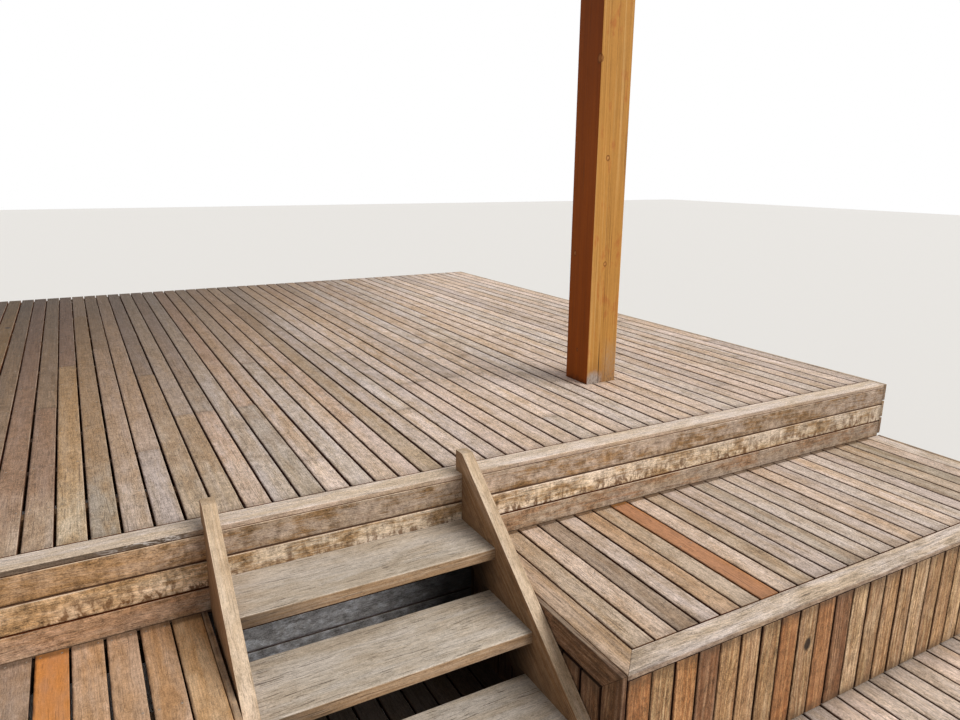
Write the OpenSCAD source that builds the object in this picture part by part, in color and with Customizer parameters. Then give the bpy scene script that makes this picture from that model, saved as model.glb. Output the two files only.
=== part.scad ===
// Wooden deck stairs: an upper deck, two platforms at mid height, the open
// flight of steps between them and the lower deck at its foot, all in boards.
// Millimetres. +Z is up and +Y is back, away from the foot of the steps. The
// origin is on the ground, under the middle of the whole plan.

/* [Boards] */
// Width of every deck, fascia and skirt board
board_w = 90; // [70:1:140]
// Thickness of every deck, fascia and skirt board
board_t = 19; // [16:1:32]
// Size of the eased edges of the boards
board_ease = 2; // [0.5:0.5:4]
// Gap between two lengths of board that meet over a joist
joint_gap = 1.5; // [0.5:0.5:3]
// Least gap between two deck boards
deck_gap = 4; // [2:0.5:8]
// Gap between fascia boards
fascia_gap = 6; // [2:0.5:10]
// Least gap between skirt boards
skirt_gap = 4; // [2:0.5:12]
// Gap left in a mitred joint
mitre_gap = 1; // [0.4:0.1:2]
// Gap between the ends of boards and what they stop against
end_gap = 2; // [0.5:0.5:4]
// Gap where the end of one framing timber meets the side of another
butt_gap = 0.3; // [0.2:0.1:1]
// Gap between a border and the upright board or fascia under it
under_gap = 2.5; // [0.5:0.5:3]
// Clear height under the skirts
skirt_clear = 4; // [2:1:20]

/* [Upper deck] */
// Width of the upper deck over its side fascias
deck_w = 5240; // [4600:10:6500]
// Depth of the upper deck from its front edge to its rear edge
deck_d = 5080; // [2400:10:6000]
// Number of boards in the front fascia
fascia_rows = 3; // [2:1:3]

/* [Flight] */
// Clear width between the stringers
clear_w = 900; // [700:10:1200]
// Distance from the deck's left side to the middle of the flight
flight_x = 2153; // [1700:1:2400]
// Rise from one tread to the next, and from the top tread to the deck
tread_rise = 187; // [150:1:200]
// Rise from the lower deck to the bottom tread
foot_rise = 206; // [150:1:220]
// Going from one nosing to the next
going = 253; // [240:1:300]
// Depth of the middle and bottom treads
tread_d = 290; // [270:1:320]
// Thickness of the treads
tread_t = 45; // [35:1:60]
// Radius of the rounded front edges of the treads
nosing_r = 6; // [2:0.5:12]
// Distance from the deck's front edge to the top nosing
first_going = 259; // [240:1:290]
// Depth of the trench that holds each tread end
housing_d = 12; // [6:1:20]
// Play of a tread in its trenches
housing_play = 0.3; // [0.2:0.1:1]
// Depth of the stringer boards, square to their edges
stringer_d = 290; // [260:1:340]
// Thickness of the stringers
stringer_t = 45; // [35:1:60]
// Height of the stringers' upper edge over the deck's front edge
stringer_over = 86; // [50:1:100]
// How much steeper the stringers stand than the line of the nosings, degrees
stringer_lean = 1.7; // [0:0.1:2]
// How far the left stringer stands askew in plan, head inwards, degrees
left_skew = 0.7; // [0:0.1:0.9]
// Length of the stringer heads that lie on the deck
head_l = 50; // [30:1:80]
// Height of the level cut on top of the stringer heads
head_h = 83; // [45:1:100]
// Height of the plumb cut at the stringer feet
toe_h = 60; // [30:1:120]
// Gap between a stringer and the platform beside it
side_gap = 3; // [1:0.5:10]

/* [Platforms] */
// Depth of the platforms in front of the upper deck
platform_d = 915; // [700:5:1200]
// Height of the upper deck over the platforms
platform_drop = 295; // [280:1:300]

/* [Lower deck] */
// Height of the lower deck over the ground
lower_h = 240; // [230:5:400]
// Distance from the upper deck's front edge to the lower deck's front edge
lower_out = 1900; // [1500:10:2600]
// How far the lower deck's boards run in under the platforms
lower_tuck = 40; // [30:1:60]
// Number of boards in the lower deck's fascia
lower_rows = 2; // [1:1:2]

/* [Framing] */
// Thickness of joists, rims and rails
joist_t = 45; // [35:1:60]
// Depth of the upper deck's joists
joist_h = 140; // [120:5:150]
// Depth of the upper deck's rims and of the ledger at its rear
rim_h = 240; // [200:5:270]
// Depth of the platforms' and lower deck's joists, and of the skirt rails
low_joist_h = 90; // [70:5:110]
// Thickness of the bearers
bearer_t = 90; // [70:5:110]
// Depth of the upper deck's bearers
bearer_h = 140; // [110:5:140]
// Depth of the platforms' and lower deck's bearers
low_bearer_h = 90; // [70:5:100]
// Side of the square stumps
stump_w = 90; // [80:5:120]
// Spacing of the upper deck's joists
joist_pitch = 408; // [350:2:600]
// Distance from the deck's front edge to its second joist
joist_start = 409; // [250:1:500]
// Widest space from joist to joist under the platforms and the lower deck
joist_span = 450; // [350:10:600]
// Widest space from bearer to bearer
bearer_span = 1300; // [1000:50:1800]
// Widest space from stump to stump along a bearer
stump_span = 1400; // [1000:50:2000]
// Height of the skirt rails over the skirts' lower ends
rail_up = 25; // [0:5:60]
// Height of the outer skirts over the ground
ground_clear = 40; // [20:5:100]

/* [Verandah post] */
// Side of the square post
post_w = 192; // [150:2:240]
// Height of the post over the upper deck
post_h = 2450; // [2000:10:3000]
// Distance from the deck's left side to the middle of the post
post_x = 3858; // [3400:1:4200]
// Distance from the deck's front edge to the middle of the post
post_y = 855; // [600:1:1200]
// Gap between the post and the boards cut round it
post_gap = 3; // [1:0.5:8]

/* [Hidden] */

// Colours of the weathered boards, the shaded framing and the stained post.
weathered = "#a08a76";
warm = "#a87f5c";
shaded = "#8a7a66";
pale = "#b8a88c";
stained = "#8f5f3c";

// Heights of the walking surfaces over the ground.
tread_n = 3;
lower_top = lower_h;
deck_top = lower_top + foot_rise + tread_n * tread_rise;
platform_top = deck_top - platform_drop;

// The plan: left and right sides, and the upper deck's front edge.
left_x = -deck_w / 2;
right_x = deck_w / 2;
front_y = (lower_out - deck_d) / 2;
rear_y = front_y + deck_d;
foot_y = front_y - lower_out;

// The flight in plan.
flight_mid = left_x + flight_x;
inner_left = flight_mid - clear_w / 2;
inner_right = flight_mid + clear_w / 2;
outer_left = inner_left - stringer_t;
outer_right = inner_right + stringer_t;
slot_left = outer_left - side_gap;
slot_right = outer_right + side_gap;
right_w = right_x - slot_right;
left_w = slot_left - left_x;

// Where the post stands.
post_mid_x = left_x + post_x;
post_mid_y = front_y + post_y;

// Places that divide the way from a to b into bays no wider than most.
function bays(a, b, most) = ceil((b - a) / most);
function spread(a, b, most) =
    let (n = bays(a, b, most)) [for (i = [0:n]) a + i * (b - a) / n];

// How many boards fill a width, with a gap at both sides, and the even gap.
function fill_n(w, least) = floor((w - least) / (board_w + least));
function fill_gap(w, least) =
    (w - fill_n(w, least) * board_w) / (fill_n(w, least) + 1);
function fill_at(w, least) =
    let (g = fill_gap(w, least))
    [for (i = [0:fill_n(w, least) - 1]) g + i * (board_w + g)];

// Bearers stand in line with the stringers and under the post.
bearer_in = board_t + joist_t + bearer_t / 2;
stringer_mid_left = inner_left - stringer_t / 2;
stringer_mid_right = inner_right + stringer_t / 2;
bearer_xs = concat(
    spread(left_x + bearer_in, stringer_mid_left, bearer_span),
    spread(stringer_mid_right, post_mid_x, bearer_span),
    [for (x = spread(post_mid_x, right_x - bearer_in, bearer_span))
        if (x > post_mid_x) x]
);

// Upper framing in depth: the first joist doubles the front rim, so that the
// border and the ends of the boards both lie on timber.
rim_back = front_y + board_t + joist_t;
ledger_face = rear_y - joist_t;
joist_ys = [for (y = [front_y + joist_start:joist_pitch:ledger_face - joist_t])
    y];
all_joist_ys = concat([rim_back + joist_t / 2], joist_ys);
stump_ys = concat(
    spread(front_y + board_t + stump_w / 2, post_mid_y, stump_span),
    [for (y = spread(post_mid_y, ledger_face - stump_w / 2, stump_span))
        if (y > post_mid_y) y]
);
joist_top = deck_top - board_t;
bearer_top = joist_top - joist_h;
stump_top = bearer_top - bearer_h;

// Stringer outline: the upper edge rises along the flight.
pitch = atan(tread_rise / going) + stringer_lean;
slope = tan(pitch);
stringer_v = stringer_d / cos(pitch);
function edge_z(y) = deck_top + stringer_over + slope * (y - front_y);
function edge_y(z) = front_y + (z - deck_top - stringer_over) / slope;

// Nosing and top of tread i, counted from 1 at the top.
function nosing_y(i) = front_y - first_going - (i - 1) * going;
function tread_top(i) = deck_top - i * tread_rise;
function tread_back(i) = min(nosing_y(i) + tread_d, front_y - end_gap);

// A bar from corner p with the given size.
module bar(p, size) {
    translate(p)
        cube(size);
}

// Section of a board of width w, with its four long edges eased.
function section(w) =
    let (e = board_ease, t = board_t)
    [[e, 0], [w - e, 0], [w, e], [w, t - e],
     [w - e, t], [e, t], [0, t - e], [0, e]];

// A board laid flat along Y, of length l from its near left corner p.
module board_back(p, l) {
    translate([p[0], p[1] + l, p[2]])
        rotate([90, 0, 0])
            linear_extrude(height = l)
                polygon(section(board_w));
}

// A board laid flat along X.
module board_across(p, l) {
    translate([p[0], p[1] + board_w, p[2]])
        rotate([0, 0, -90])
            board_back([0, 0, 0], l);
}

// A board on edge along X, of width w, with its faces to front and back.
module board_on_edge(p, l, w) {
    translate(p)
        rotate([90, 0, 90])
            linear_extrude(height = l)
                polygon([for (c = section(w)) [c[1], c[0]]]);
}

// A board on edge along Y, with its faces to left and right.
module board_on_side(p, l) {
    translate([p[0], p[1] + l, p[2]])
        rotate([90, 0, 0])
            linear_extrude(height = l)
                polygon([for (c = section(board_w)) [c[1], c[0]]]);
}

// An upright board of height l with its faces to front and back.
module board_upright(p, l) {
    translate(p)
        linear_extrude(height = l)
            polygon(section(board_w));
}

// An upright board with its faces to left and right.
module board_upright_side(p, l) {
    translate(p)
        linear_extrude(height = l)
            polygon([for (c = section(board_w)) [c[1], c[0]]]);
}

// Boards along Y that fill the width w from x, between y0 and y1.
module boards_back(x, w, y0, y1, top) {
    for (at = fill_at(w, deck_gap))
        board_back([x + at, y0, top - board_t], y1 - y0);
}

// A prism with its outline in plan.
module flat_prism(outline, z, h) {
    translate([0, 0, z])
        linear_extrude(height = h)
            polygon(outline);
}

// A prism with its outline in the Y-Z plane, from x over the width w.
module side_prism(outline, x, w) {
    translate([x, 0, 0])
        rotate([90, 0, 90])
            linear_extrude(height = w)
                polygon(outline);
}

// Upper deck.

// Each row of boards is made of two lengths that meet over a joist. The
// cycle gives the joist for one row after another, so that the joints stagger.
joint_cycle = [3, 5, 9, 6, 1, 4, 2, 2, 8, 2, 0, 4];
function joint_y(i) =
    joist_ys[joint_cycle[i % len(joint_cycle)] % (len(joist_ys) - 1)];

module deck_boards() {
    fill = fill_at(deck_w - 2 * board_t, deck_gap);
    y0 = front_y + board_w + fill[0];
    z = deck_top - board_t;
    hole = post_w + 2 * post_gap;
    color(weathered)
        difference() {
            for (i = [0:len(fill) - 1]) {
                x = left_x + board_t + fill[i];
                meet = joint_y(i);
                board_back([x, y0, z], meet - joint_gap / 2 - y0);
                board_back([x, meet + joint_gap / 2, z],
                           rear_y - meet - joint_gap / 2);
            }
            bar([post_mid_x - hole / 2, post_mid_y - hole / 2,
                 deck_top - 2 * board_t],
                [hole, hole, 3 * board_t]);
        }
}

module deck_front_border() {
    color(weathered)
        board_across([left_x + board_t + end_gap, front_y, deck_top - board_t],
                     deck_w - 2 * board_t - 2 * end_gap);
}

// The front fascia hangs under the border, between the side fascias.
fascia_top = deck_top - board_t - under_gap;
fascia_pitch = board_w + fascia_gap;
module deck_front_fascia() {
    color(warm)
        for (i = [0:fascia_rows - 1])
            board_on_edge([left_x + board_t + end_gap, front_y,
                           fascia_top - board_w - i * fascia_pitch],
                          deck_w - 2 * board_t - 2 * end_gap, board_w);
}

// The side fascias stand flush with the walking surface.
module deck_side_fascia() {
    color(warm)
        for (x = [left_x, right_x - board_t], i = [0:fascia_rows - 1])
            board_on_side([x, front_y, deck_top - board_w - i * fascia_pitch],
                          deck_d);
}

module deck_rims() {
    color(shaded) {
        bar([left_x + board_t, front_y + board_t, joist_top - rim_h],
            [deck_w - 2 * board_t, joist_t, rim_h]);
        for (x = [left_x + board_t, right_x - board_t - joist_t])
            bar([x, rim_back + butt_gap, joist_top - rim_h],
                [joist_t, ledger_face - rim_back - 2 * butt_gap, rim_h]);
    }
}

module house_ledger() {
    color(shaded)
        bar([left_x + board_t, ledger_face, joist_top - rim_h],
            [deck_w - 2 * board_t, joist_t, rim_h]);
}

// A joist that meets the post is cut, and its ends are fixed to the post.
module deck_joists() {
    inset = board_t + joist_t + butt_gap;
    color(shaded)
        for (y = all_joist_ys)
            difference() {
                bar([left_x + inset, y - joist_t / 2, bearer_top],
                    [deck_w - 2 * inset, joist_t, joist_h]);
                if (abs(y - post_mid_y) < (post_w + joist_t) / 2)
                    bar([post_mid_x - post_w / 2, y - joist_t, bearer_top - 1],
                        [post_w, 2 * joist_t, joist_h + 2]);
            }
}

module deck_bearers() {
    color(shaded)
        for (x = bearer_xs)
            bar([x - bearer_t / 2, rim_back, stump_top],
                [bearer_t, ledger_face - rim_back, bearer_h]);
}

module deck_stumps() {
    color(shaded)
        for (x = bearer_xs, y = stump_ys)
            bar([x - stump_w / 2, y - stump_w / 2, 0],
                [stump_w, stump_w, stump_top]);
}

// Boards that close the front of the upper deck behind the flight. The
// lowest one is ripped to what is left over the lower deck.
back_top = fascia_top - fascia_rows * fascia_pitch;
module stair_back_boards() {
    floor_z = lower_top + skirt_clear;
    color(shaded)
        for (z = [back_top:-fascia_pitch:floor_z + 20]) {
            low = max(z - board_w, floor_z);
            board_on_edge([outer_left, front_y, low],
                          outer_right - outer_left, z - low);
        }
}

// The flight.

// Outline of a stringer: the head lies on the deck, the back stands against
// the fascia and the foot stands on the lower deck.
stringer_outline = [
    [edge_y(lower_top + toe_h), lower_top],
    [edge_y(lower_top + stringer_v), lower_top],
    [front_y, edge_z(front_y) - stringer_v],
    [front_y, deck_top],
    [front_y + head_l, deck_top],
    [front_y + head_l, deck_top + head_h],
    [edge_y(deck_top + head_h), deck_top + head_h],
    [edge_y(lower_top + toe_h), lower_top + toe_h]
];

// Outline of a tread with its front edge rounded, from nosing y0 back to y1
// and down from z1, grown all round by the play p.
function arc(cy, cz, r, a0, a1) =
    [for (k = [0:4])
        let (a = a0 + k * (a1 - a0) / 4) [cy + r * cos(a), cz + r * sin(a)]];
function tread_outline(y0, y1, z1, p) =
    let (front = y0 - p, back = y1 + p, top = z1 + p,
         low = z1 - tread_t - p, r = nosing_r)
    concat(arc(front + r, top - r, r, 90, 180),
           arc(front + r, low + r, r, 180, 270),
           [[back, low], [back, top]]);

module tread(i) {
    reach = housing_d - housing_play;
    color(weathered)
        side_prism(tread_outline(nosing_y(i), tread_back(i), tread_top(i), 0),
                   inner_left - reach, clear_w + 2 * reach);
}

// The top trench runs out at the stringer's back, the others are stopped.
function trench_back(i) =
    tread_back(i) < front_y - end_gap ? tread_back(i) : front_y + end_gap;

// A stringer from x, turned in plan about the bottom nosing, with a trench
// for each tread cut from trench_x to the board's open face.
module stringer(x, skew, trench_x) {
    pivot_y = nosing_y(tread_n);
    color(pale)
        difference() {
            translate([x, pivot_y, 0])
                rotate([0, 0, -skew])
                    translate([0, -pivot_y, 0])
                        side_prism(stringer_outline, 0, stringer_t);
            for (i = [1:tread_n])
                side_prism(tread_outline(nosing_y(i), trench_back(i),
                                         tread_top(i), housing_play),
                           trench_x, 3 * housing_d);
        }
}

module left_stringer() {
    stringer(outer_left, left_skew, inner_left - housing_d);
}

module right_stringer() {
    stringer(inner_right, 0, inner_right - 2 * housing_d);
}

module top_tread() {
    tread(1);
}

module middle_tread() {
    tread(2);
}

module bottom_tread() {
    tread(3);
}

// The platforms.

// A platform is drawn with x = 0 on its side next to the flight and y = 0
// on the upper deck's front edge, over the width w.
p_front = -platform_d;
border_in = board_t + end_gap;
border_out = border_in + board_w;
p_joist_top = platform_top - board_t;
p_bearer_top = p_joist_top - low_joist_h;
p_stump_top = p_bearer_top - low_bearer_h;
skirt_low = lower_top + skirt_clear;

// The pieces of the left platform are the right ones mirrored.
module on_right() {
    translate([slot_right, front_y, 0])
        children();
}

module on_left() {
    translate([slot_left, front_y, 0])
        mirror([1, 0, 0])
            children();
}

module platform_boards(w) {
    field = w - 2 * border_out;
    color(weathered)
        boards_back(border_out, field,
                    p_front + board_w + fill_gap(field, deck_gap),
                    -end_gap, platform_top);
}

// The front border is mitred to a side border at each end.
module platform_border(w) {
    color(weathered) {
        intersection() {
            board_across([0, p_front, p_joist_top], w);
            flat_prism([[border_in, p_front], [w - border_in, p_front],
                        [w - border_out, p_front + board_w],
                        [border_out, p_front + board_w]],
                       p_joist_top, board_t);
        }
        side_border();
        translate([w, 0, 0])
            mirror([1, 0, 0])
                side_border();
    }
}

module side_border() {
    intersection() {
        board_back([border_in, p_front, p_joist_top], platform_d - end_gap);
        flat_prism([[border_in, p_front + mitre_gap],
                    [border_out, p_front + board_w + mitre_gap],
                    [border_out, 0], [border_in, 0]],
                   p_joist_top, board_t);
    }
}

// The trim on each side is a level board, flush with the surface and mitred
// to an upright board at the front corner.
module side_trim(w) {
    low = platform_top - board_w;
    level = [[p_front, platform_top], [0, platform_top],
             [0, low], [p_front + board_w, low]];
    upright = [[p_front, platform_top - mitre_gap],
               [p_front + board_w, low - mitre_gap],
               [p_front + board_w, skirt_low], [p_front, skirt_low]];
    color(warm)
        for (x = [0, w - board_t]) {
            intersection() {
                board_on_side([x, p_front, low], platform_d - end_gap);
                side_prism(level, x, board_t);
            }
            intersection() {
                board_upright_side([x, p_front, skirt_low],
                                   platform_top - skirt_low);
                side_prism(upright, x, board_t);
            }
        }
}

// Upright boards fill the sides inside the trim. Those on the outer side
// run down almost to the ground.
module side_boards(w) {
    field = platform_d - board_w - end_gap;
    top = platform_top - board_w - fill_gap(field, skirt_gap);
    color(warm)
        for (at = fill_at(field, skirt_gap)) {
            y = p_front + board_w + at;
            board_upright_side([0, y, skirt_low], top - skirt_low);
            board_upright_side([w - board_t, y, ground_clear],
                               top - ground_clear);
        }
}

// Upright boards close the front under the border.
module front_skirt(w) {
    color(warm)
        for (at = fill_at(w - 2 * board_t, skirt_gap))
            board_upright([board_t + at, p_front, skirt_low],
                          p_joist_top - under_gap - skirt_low);
}

// Rails near the foot of the skirts hold their lower ends.
module skirt_rails(w) {
    z = skirt_low + rail_up;
    y = p_front + board_t;
    color(shaded) {
        bar([board_t, y, z], [w - 2 * board_t, joist_t, low_joist_h]);
        for (x = [board_t, w - board_t - joist_t])
            bar([x, y + joist_t + butt_gap, z],
                [joist_t, -y - joist_t - butt_gap, low_joist_h]);
    }
}

module platform_joists(w) {
    y = p_front + board_t;
    back = board_t - joist_t;
    inset = board_t + joist_t + butt_gap;
    first = y + 1.5 * joist_t + butt_gap;
    color(shaded) {
        for (at = [y, back])
            bar([board_t, at, p_bearer_top],
                [w - 2 * board_t, joist_t, low_joist_h]);
        for (x = [board_t, w - board_t - joist_t])
            bar([x, y + joist_t + butt_gap, p_bearer_top],
                [joist_t, back - y - joist_t - 2 * butt_gap, low_joist_h]);
        for (at = spread(first, back + joist_t / 2, joist_span))
            if (at < back - joist_t)
                bar([inset, at - joist_t / 2, p_bearer_top],
                    [w - 2 * inset, joist_t, low_joist_h]);
    }
}

function platform_xs(w) = spread(bearer_in, w - bearer_in, bearer_span);

module platform_bearers(w) {
    color(shaded)
        for (x = platform_xs(w))
            bar([x - bearer_t / 2, p_front + board_t, p_stump_top],
                [bearer_t, platform_d, low_bearer_h]);
}

module platform_stumps(w) {
    color(shaded)
        for (x = platform_xs(w),
             y = [p_front + board_t + joist_t, board_t - stump_w])
            bar([x - stump_w / 2, y, 0], [stump_w, stump_w, p_stump_top]);
}

module right_platform_boards() {
    on_right() platform_boards(right_w);
}

module right_platform_border() {
    on_right() platform_border(right_w);
}

module right_side_trim() {
    on_right() side_trim(right_w);
}

module right_side_boards() {
    on_right() side_boards(right_w);
}

module right_front_skirt() {
    on_right() front_skirt(right_w);
}

module right_skirt_rails() {
    on_right() skirt_rails(right_w);
}

module right_platform_joists() {
    on_right() platform_joists(right_w);
}

module right_platform_bearers() {
    on_right() platform_bearers(right_w);
}

module right_platform_stumps() {
    on_right() platform_stumps(right_w);
}

module left_platform_boards() {
    on_left() platform_boards(left_w);
}

module left_platform_border() {
    on_left() platform_border(left_w);
}

module left_side_trim() {
    on_left() side_trim(left_w);
}

module left_side_boards() {
    on_left() side_boards(left_w);
}

module left_front_skirt() {
    on_left() front_skirt(left_w);
}

module left_skirt_rails() {
    on_left() skirt_rails(left_w);
}

module left_platform_joists() {
    on_left() platform_joists(left_w);
}

module left_platform_bearers() {
    on_left() platform_bearers(left_w);
}

module left_platform_stumps() {
    on_left() platform_stumps(left_w);
}

// The lower deck.

l_joist_top = lower_top - board_t;
l_bearer_top = l_joist_top - low_joist_h;
l_stump_top = l_bearer_top - low_bearer_h;
tuck_y = front_y - platform_d + lower_tuck;

// The boards stop under the platforms' front edge, and between the platforms
// they run on under the flight.
module lower_deck_boards() {
    w = deck_w - 2 * board_t;
    y0 = foot_y + board_w + fill_gap(w, deck_gap);
    color(weathered)
        for (at = fill_at(w, deck_gap)) {
            x = left_x + board_t + at;
            mid = x + board_w / 2;
            back = mid > slot_left && mid < slot_right
                ? front_y - end_gap : tuck_y;
            board_back([x, y0, l_joist_top], back - y0);
        }
}

module lower_deck_border() {
    color(weathered)
        board_across([left_x + board_t + end_gap, foot_y, l_joist_top],
                     deck_w - 2 * board_t - 2 * end_gap);
}

module lower_deck_fascia() {
    color(warm)
        for (i = [0:lower_rows - 1]) {
            drop = board_w + i * fascia_pitch;
            board_on_edge([left_x + board_t + end_gap, foot_y,
                           l_joist_top - under_gap - drop],
                          deck_w - 2 * board_t - 2 * end_gap, board_w);
            for (x = [left_x, right_x - board_t])
                board_on_side([x, foot_y, lower_top - drop],
                              tuck_y - foot_y);
        }
}

// A row of joists in front and a shorter one under the flight.
l_front_ys = spread(foot_y + board_t + 1.5 * joist_t + butt_gap,
                    tuck_y - joist_t / 2, joist_span);
l_slot_ys = [for (y = spread(tuck_y - joist_t / 2,
                             front_y - joist_t / 2, joist_span))
    if (y > tuck_y) y];
module lower_deck_joists() {
    y = foot_y + board_t;
    inset = board_t + joist_t + butt_gap;
    color(shaded) {
        bar([left_x + board_t, y, l_bearer_top],
            [deck_w - 2 * board_t, joist_t, low_joist_h]);
        for (x = [left_x + board_t, right_x - board_t - joist_t])
            bar([x, y + joist_t + butt_gap, l_bearer_top],
                [joist_t, tuck_y - y - joist_t - butt_gap, low_joist_h]);
        for (at = l_front_ys)
            bar([left_x + inset, at - joist_t / 2, l_bearer_top],
                [deck_w - 2 * inset, joist_t, low_joist_h]);
        for (at = l_slot_ys)
            bar([slot_left, at - joist_t / 2, l_bearer_top],
                [slot_right - slot_left, joist_t, low_joist_h]);
    }
}

// The bearers in line with the stringers run on under the flight.
function bearer_end(x) =
    x > slot_left && x < slot_right ? front_y + board_t : tuck_y;
module lower_deck_bearers() {
    y = foot_y + board_t;
    color(shaded)
        for (x = bearer_xs)
            bar([x - bearer_t / 2, y, l_stump_top],
                [bearer_t, bearer_end(x) - y, low_bearer_h]);
}

module lower_deck_stumps() {
    y = foot_y + board_t + stump_w / 2;
    color(shaded)
        for (x = bearer_xs,
             at = spread(y, bearer_end(x) - stump_w / 2, stump_span))
            bar([x - stump_w / 2, at - stump_w / 2, 0],
                [stump_w, stump_w, l_stump_top]);
}

// The verandah post.

// The post stands on the bearer under it and comes up through the boards.
module verandah_post() {
    color(stained)
        bar([post_mid_x - post_w / 2, post_mid_y - post_w / 2, bearer_top],
            [post_w, post_w, deck_top + post_h - bearer_top]);
}

deck_boards();
deck_front_border();
deck_front_fascia();
deck_side_fascia();
deck_rims();
house_ledger();
deck_joists();
deck_bearers();
deck_stumps();
stair_back_boards();
left_stringer();
right_stringer();
top_tread();
middle_tread();
bottom_tread();
right_platform_boards();
right_platform_border();
right_side_trim();
right_side_boards();
right_front_skirt();
right_skirt_rails();
right_platform_joists();
right_platform_bearers();
right_platform_stumps();
left_platform_boards();
left_platform_border();
left_side_trim();
left_side_boards();
left_front_skirt();
left_skirt_rails();
left_platform_joists();
left_platform_bearers();
left_platform_stumps();
lower_deck_boards();
lower_deck_border();
lower_deck_fascia();
lower_deck_joists();
lower_deck_bearers();
lower_deck_stumps();
verandah_post();
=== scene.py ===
import math
import random

import bmesh
import bpy
from mathutils import Matrix, Vector


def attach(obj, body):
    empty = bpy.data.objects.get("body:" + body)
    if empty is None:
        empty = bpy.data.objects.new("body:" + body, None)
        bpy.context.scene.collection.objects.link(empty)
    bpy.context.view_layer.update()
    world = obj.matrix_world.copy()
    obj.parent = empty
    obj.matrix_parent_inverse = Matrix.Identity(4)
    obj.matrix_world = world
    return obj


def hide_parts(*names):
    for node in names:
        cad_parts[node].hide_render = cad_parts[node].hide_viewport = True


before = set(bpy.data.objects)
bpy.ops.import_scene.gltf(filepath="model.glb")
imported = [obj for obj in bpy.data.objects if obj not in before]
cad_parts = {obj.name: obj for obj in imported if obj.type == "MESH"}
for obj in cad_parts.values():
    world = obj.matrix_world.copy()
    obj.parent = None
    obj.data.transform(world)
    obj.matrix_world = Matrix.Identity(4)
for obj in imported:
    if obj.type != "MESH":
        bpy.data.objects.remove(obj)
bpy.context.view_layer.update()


def linear(code):
    """A colour written as sRGB hex, as the linear colour that a shader takes."""
    parts = [int(code[i:i + 2], 16) / 255 for i in (1, 3, 5)]
    return tuple(c / 12.92 if c <= 0.04045 else ((c + 0.055) / 1.055) ** 2.4 for c in parts) + (1.0,)


def add(tree, kind, sockets=(), **settings):
    """Adds a node, sets its settings, and fills its inputs with values or links: a tuple fills them in
    their order, a dictionary by number or name. A node given as an input is linked by its first output
    that is in use."""
    node = tree.nodes.new("ShaderNode" + kind)
    for key, value in settings.items():
        setattr(node, key, value)
    for key, value in (sockets if isinstance(sockets, dict) else dict(enumerate(sockets))).items():
        if isinstance(value, bpy.types.Node):
            value = next(o for o in value.outputs if o.enabled)
        if isinstance(value, bpy.types.NodeSocket):
            tree.links.new(value, node.inputs[key])
        else:
            node.inputs[key].default_value = value
    return node


def set_viewpoint():
    """The photograph's viewpoint, worked out from the straight lines of boards, treads and stringers."""
    right = Vector((0.87553, -0.4831, 0.00798))
    ahead = Vector((0.46933, 0.84642, -0.25162)).normalized()
    up = right.cross(ahead).normalized()
    right = ahead.cross(up)
    lens = bpy.data.cameras.new("viewpoint")
    lens.sensor_width = 36.0
    lens.lens = 732.755 / 960 * 36.0
    lens.clip_end = 200.0
    camera = bpy.data.objects.new("viewpoint", lens)
    turn = Matrix((right, up, -ahead)).transposed().to_4x4()
    camera.matrix_world = Matrix.Translation(Vector((-1.21763, -3.89190, 2.13217))) @ turn
    bpy.context.scene.collection.objects.link(camera)
    bpy.context.scene.camera = camera


# Marks of a board's fault, and the upright axis.
KNOT, BURL, UPRIGHT = 1.0, 2.0, 2
# Boards longer than STRAIGHT are cut across every CUT_STEP, in metres, so that they can wander.
STRAIGHT, CUT_STEP = 0.7, 0.45

# Timber. Each kind of board has two colours: as it stays where rain and sun don't reach it, and as it
# fades to where they do. All come from one old hardwood, so they lie close together.
# Some tones carry painted light or shade: deep shade, shaded trim and the framing's dust are darkened as
# painted shade; the slate, the brown rim and the trim edge are painted paler as light.
TONES = {
    "tan": ("#c39f7d", "#d0b9a4"), "olive": ("#ad9272", "#b2a18b"), "ash": ("#b89c80", "#c6b3a3"),
    "rose": ("#c09a7c", "#d2baa6"), "umber": ("#ab8967", "#bea88f"), "mauve": ("#a3866f", "#bcab97"),
    "honey": ("#c79a60", "#cfac82"), "silver": ("#bba28b", "#cfbeae"), "pale": ("#cbaa88", "#dbc5b2"),
    "new board": ("#cc863c", "#b6825c"), "toast": ("#b58e69", "#bfa081"), "smoke": ("#9c8068", "#a9947f"),
    "chestnut": ("#8f603a", "#a87d53"), "walnut": ("#7a5336", "#9c7b5e"), "oak": ("#9a7550", "#b99a73"),
    "bark": ("#916d4a", "#b49a76"), "amber": ("#9c6b3f", "#b58a5c"), "biscuit": ("#a38361", "#cbb08a"),
    "red fascia": ("#9d7a52", "#ac9781"), "gold fascia": ("#b8956b", "#d9c5aa"),
    "pink fascia": ("#a98565", "#a9957f"), "slate with painted light": ("#a3a2a3", "#b4b4b5"),
    "dust in shade": ("#452f1d", "#6c5138"), "scuffed": ("#a08262", "#beb2a2"), "sawn": ("#93704e", "#c4ad91"),
    "stain": ("#b27e3d", "#c6904f"), "shaded trim": ("#74543a", "#8a6e55"),
    "deep shade": ("#3a2a1e", "#45362b"), "trim edge": ("#8e6b49", "#c6a076"),
    "sepia": ("#a87f61", "#d2b89d"), "gilt": ("#c89c69", "#dcc5a5"), "moss": ("#bc9366", "#b8a791"),
    "rim": ("#b39d87", "#dac8b4"), "warm rim": ("#b08c69", "#cdb091"),
    "brown rim with painted light": ("#bc9061", "#c8a87f"),
}


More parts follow.
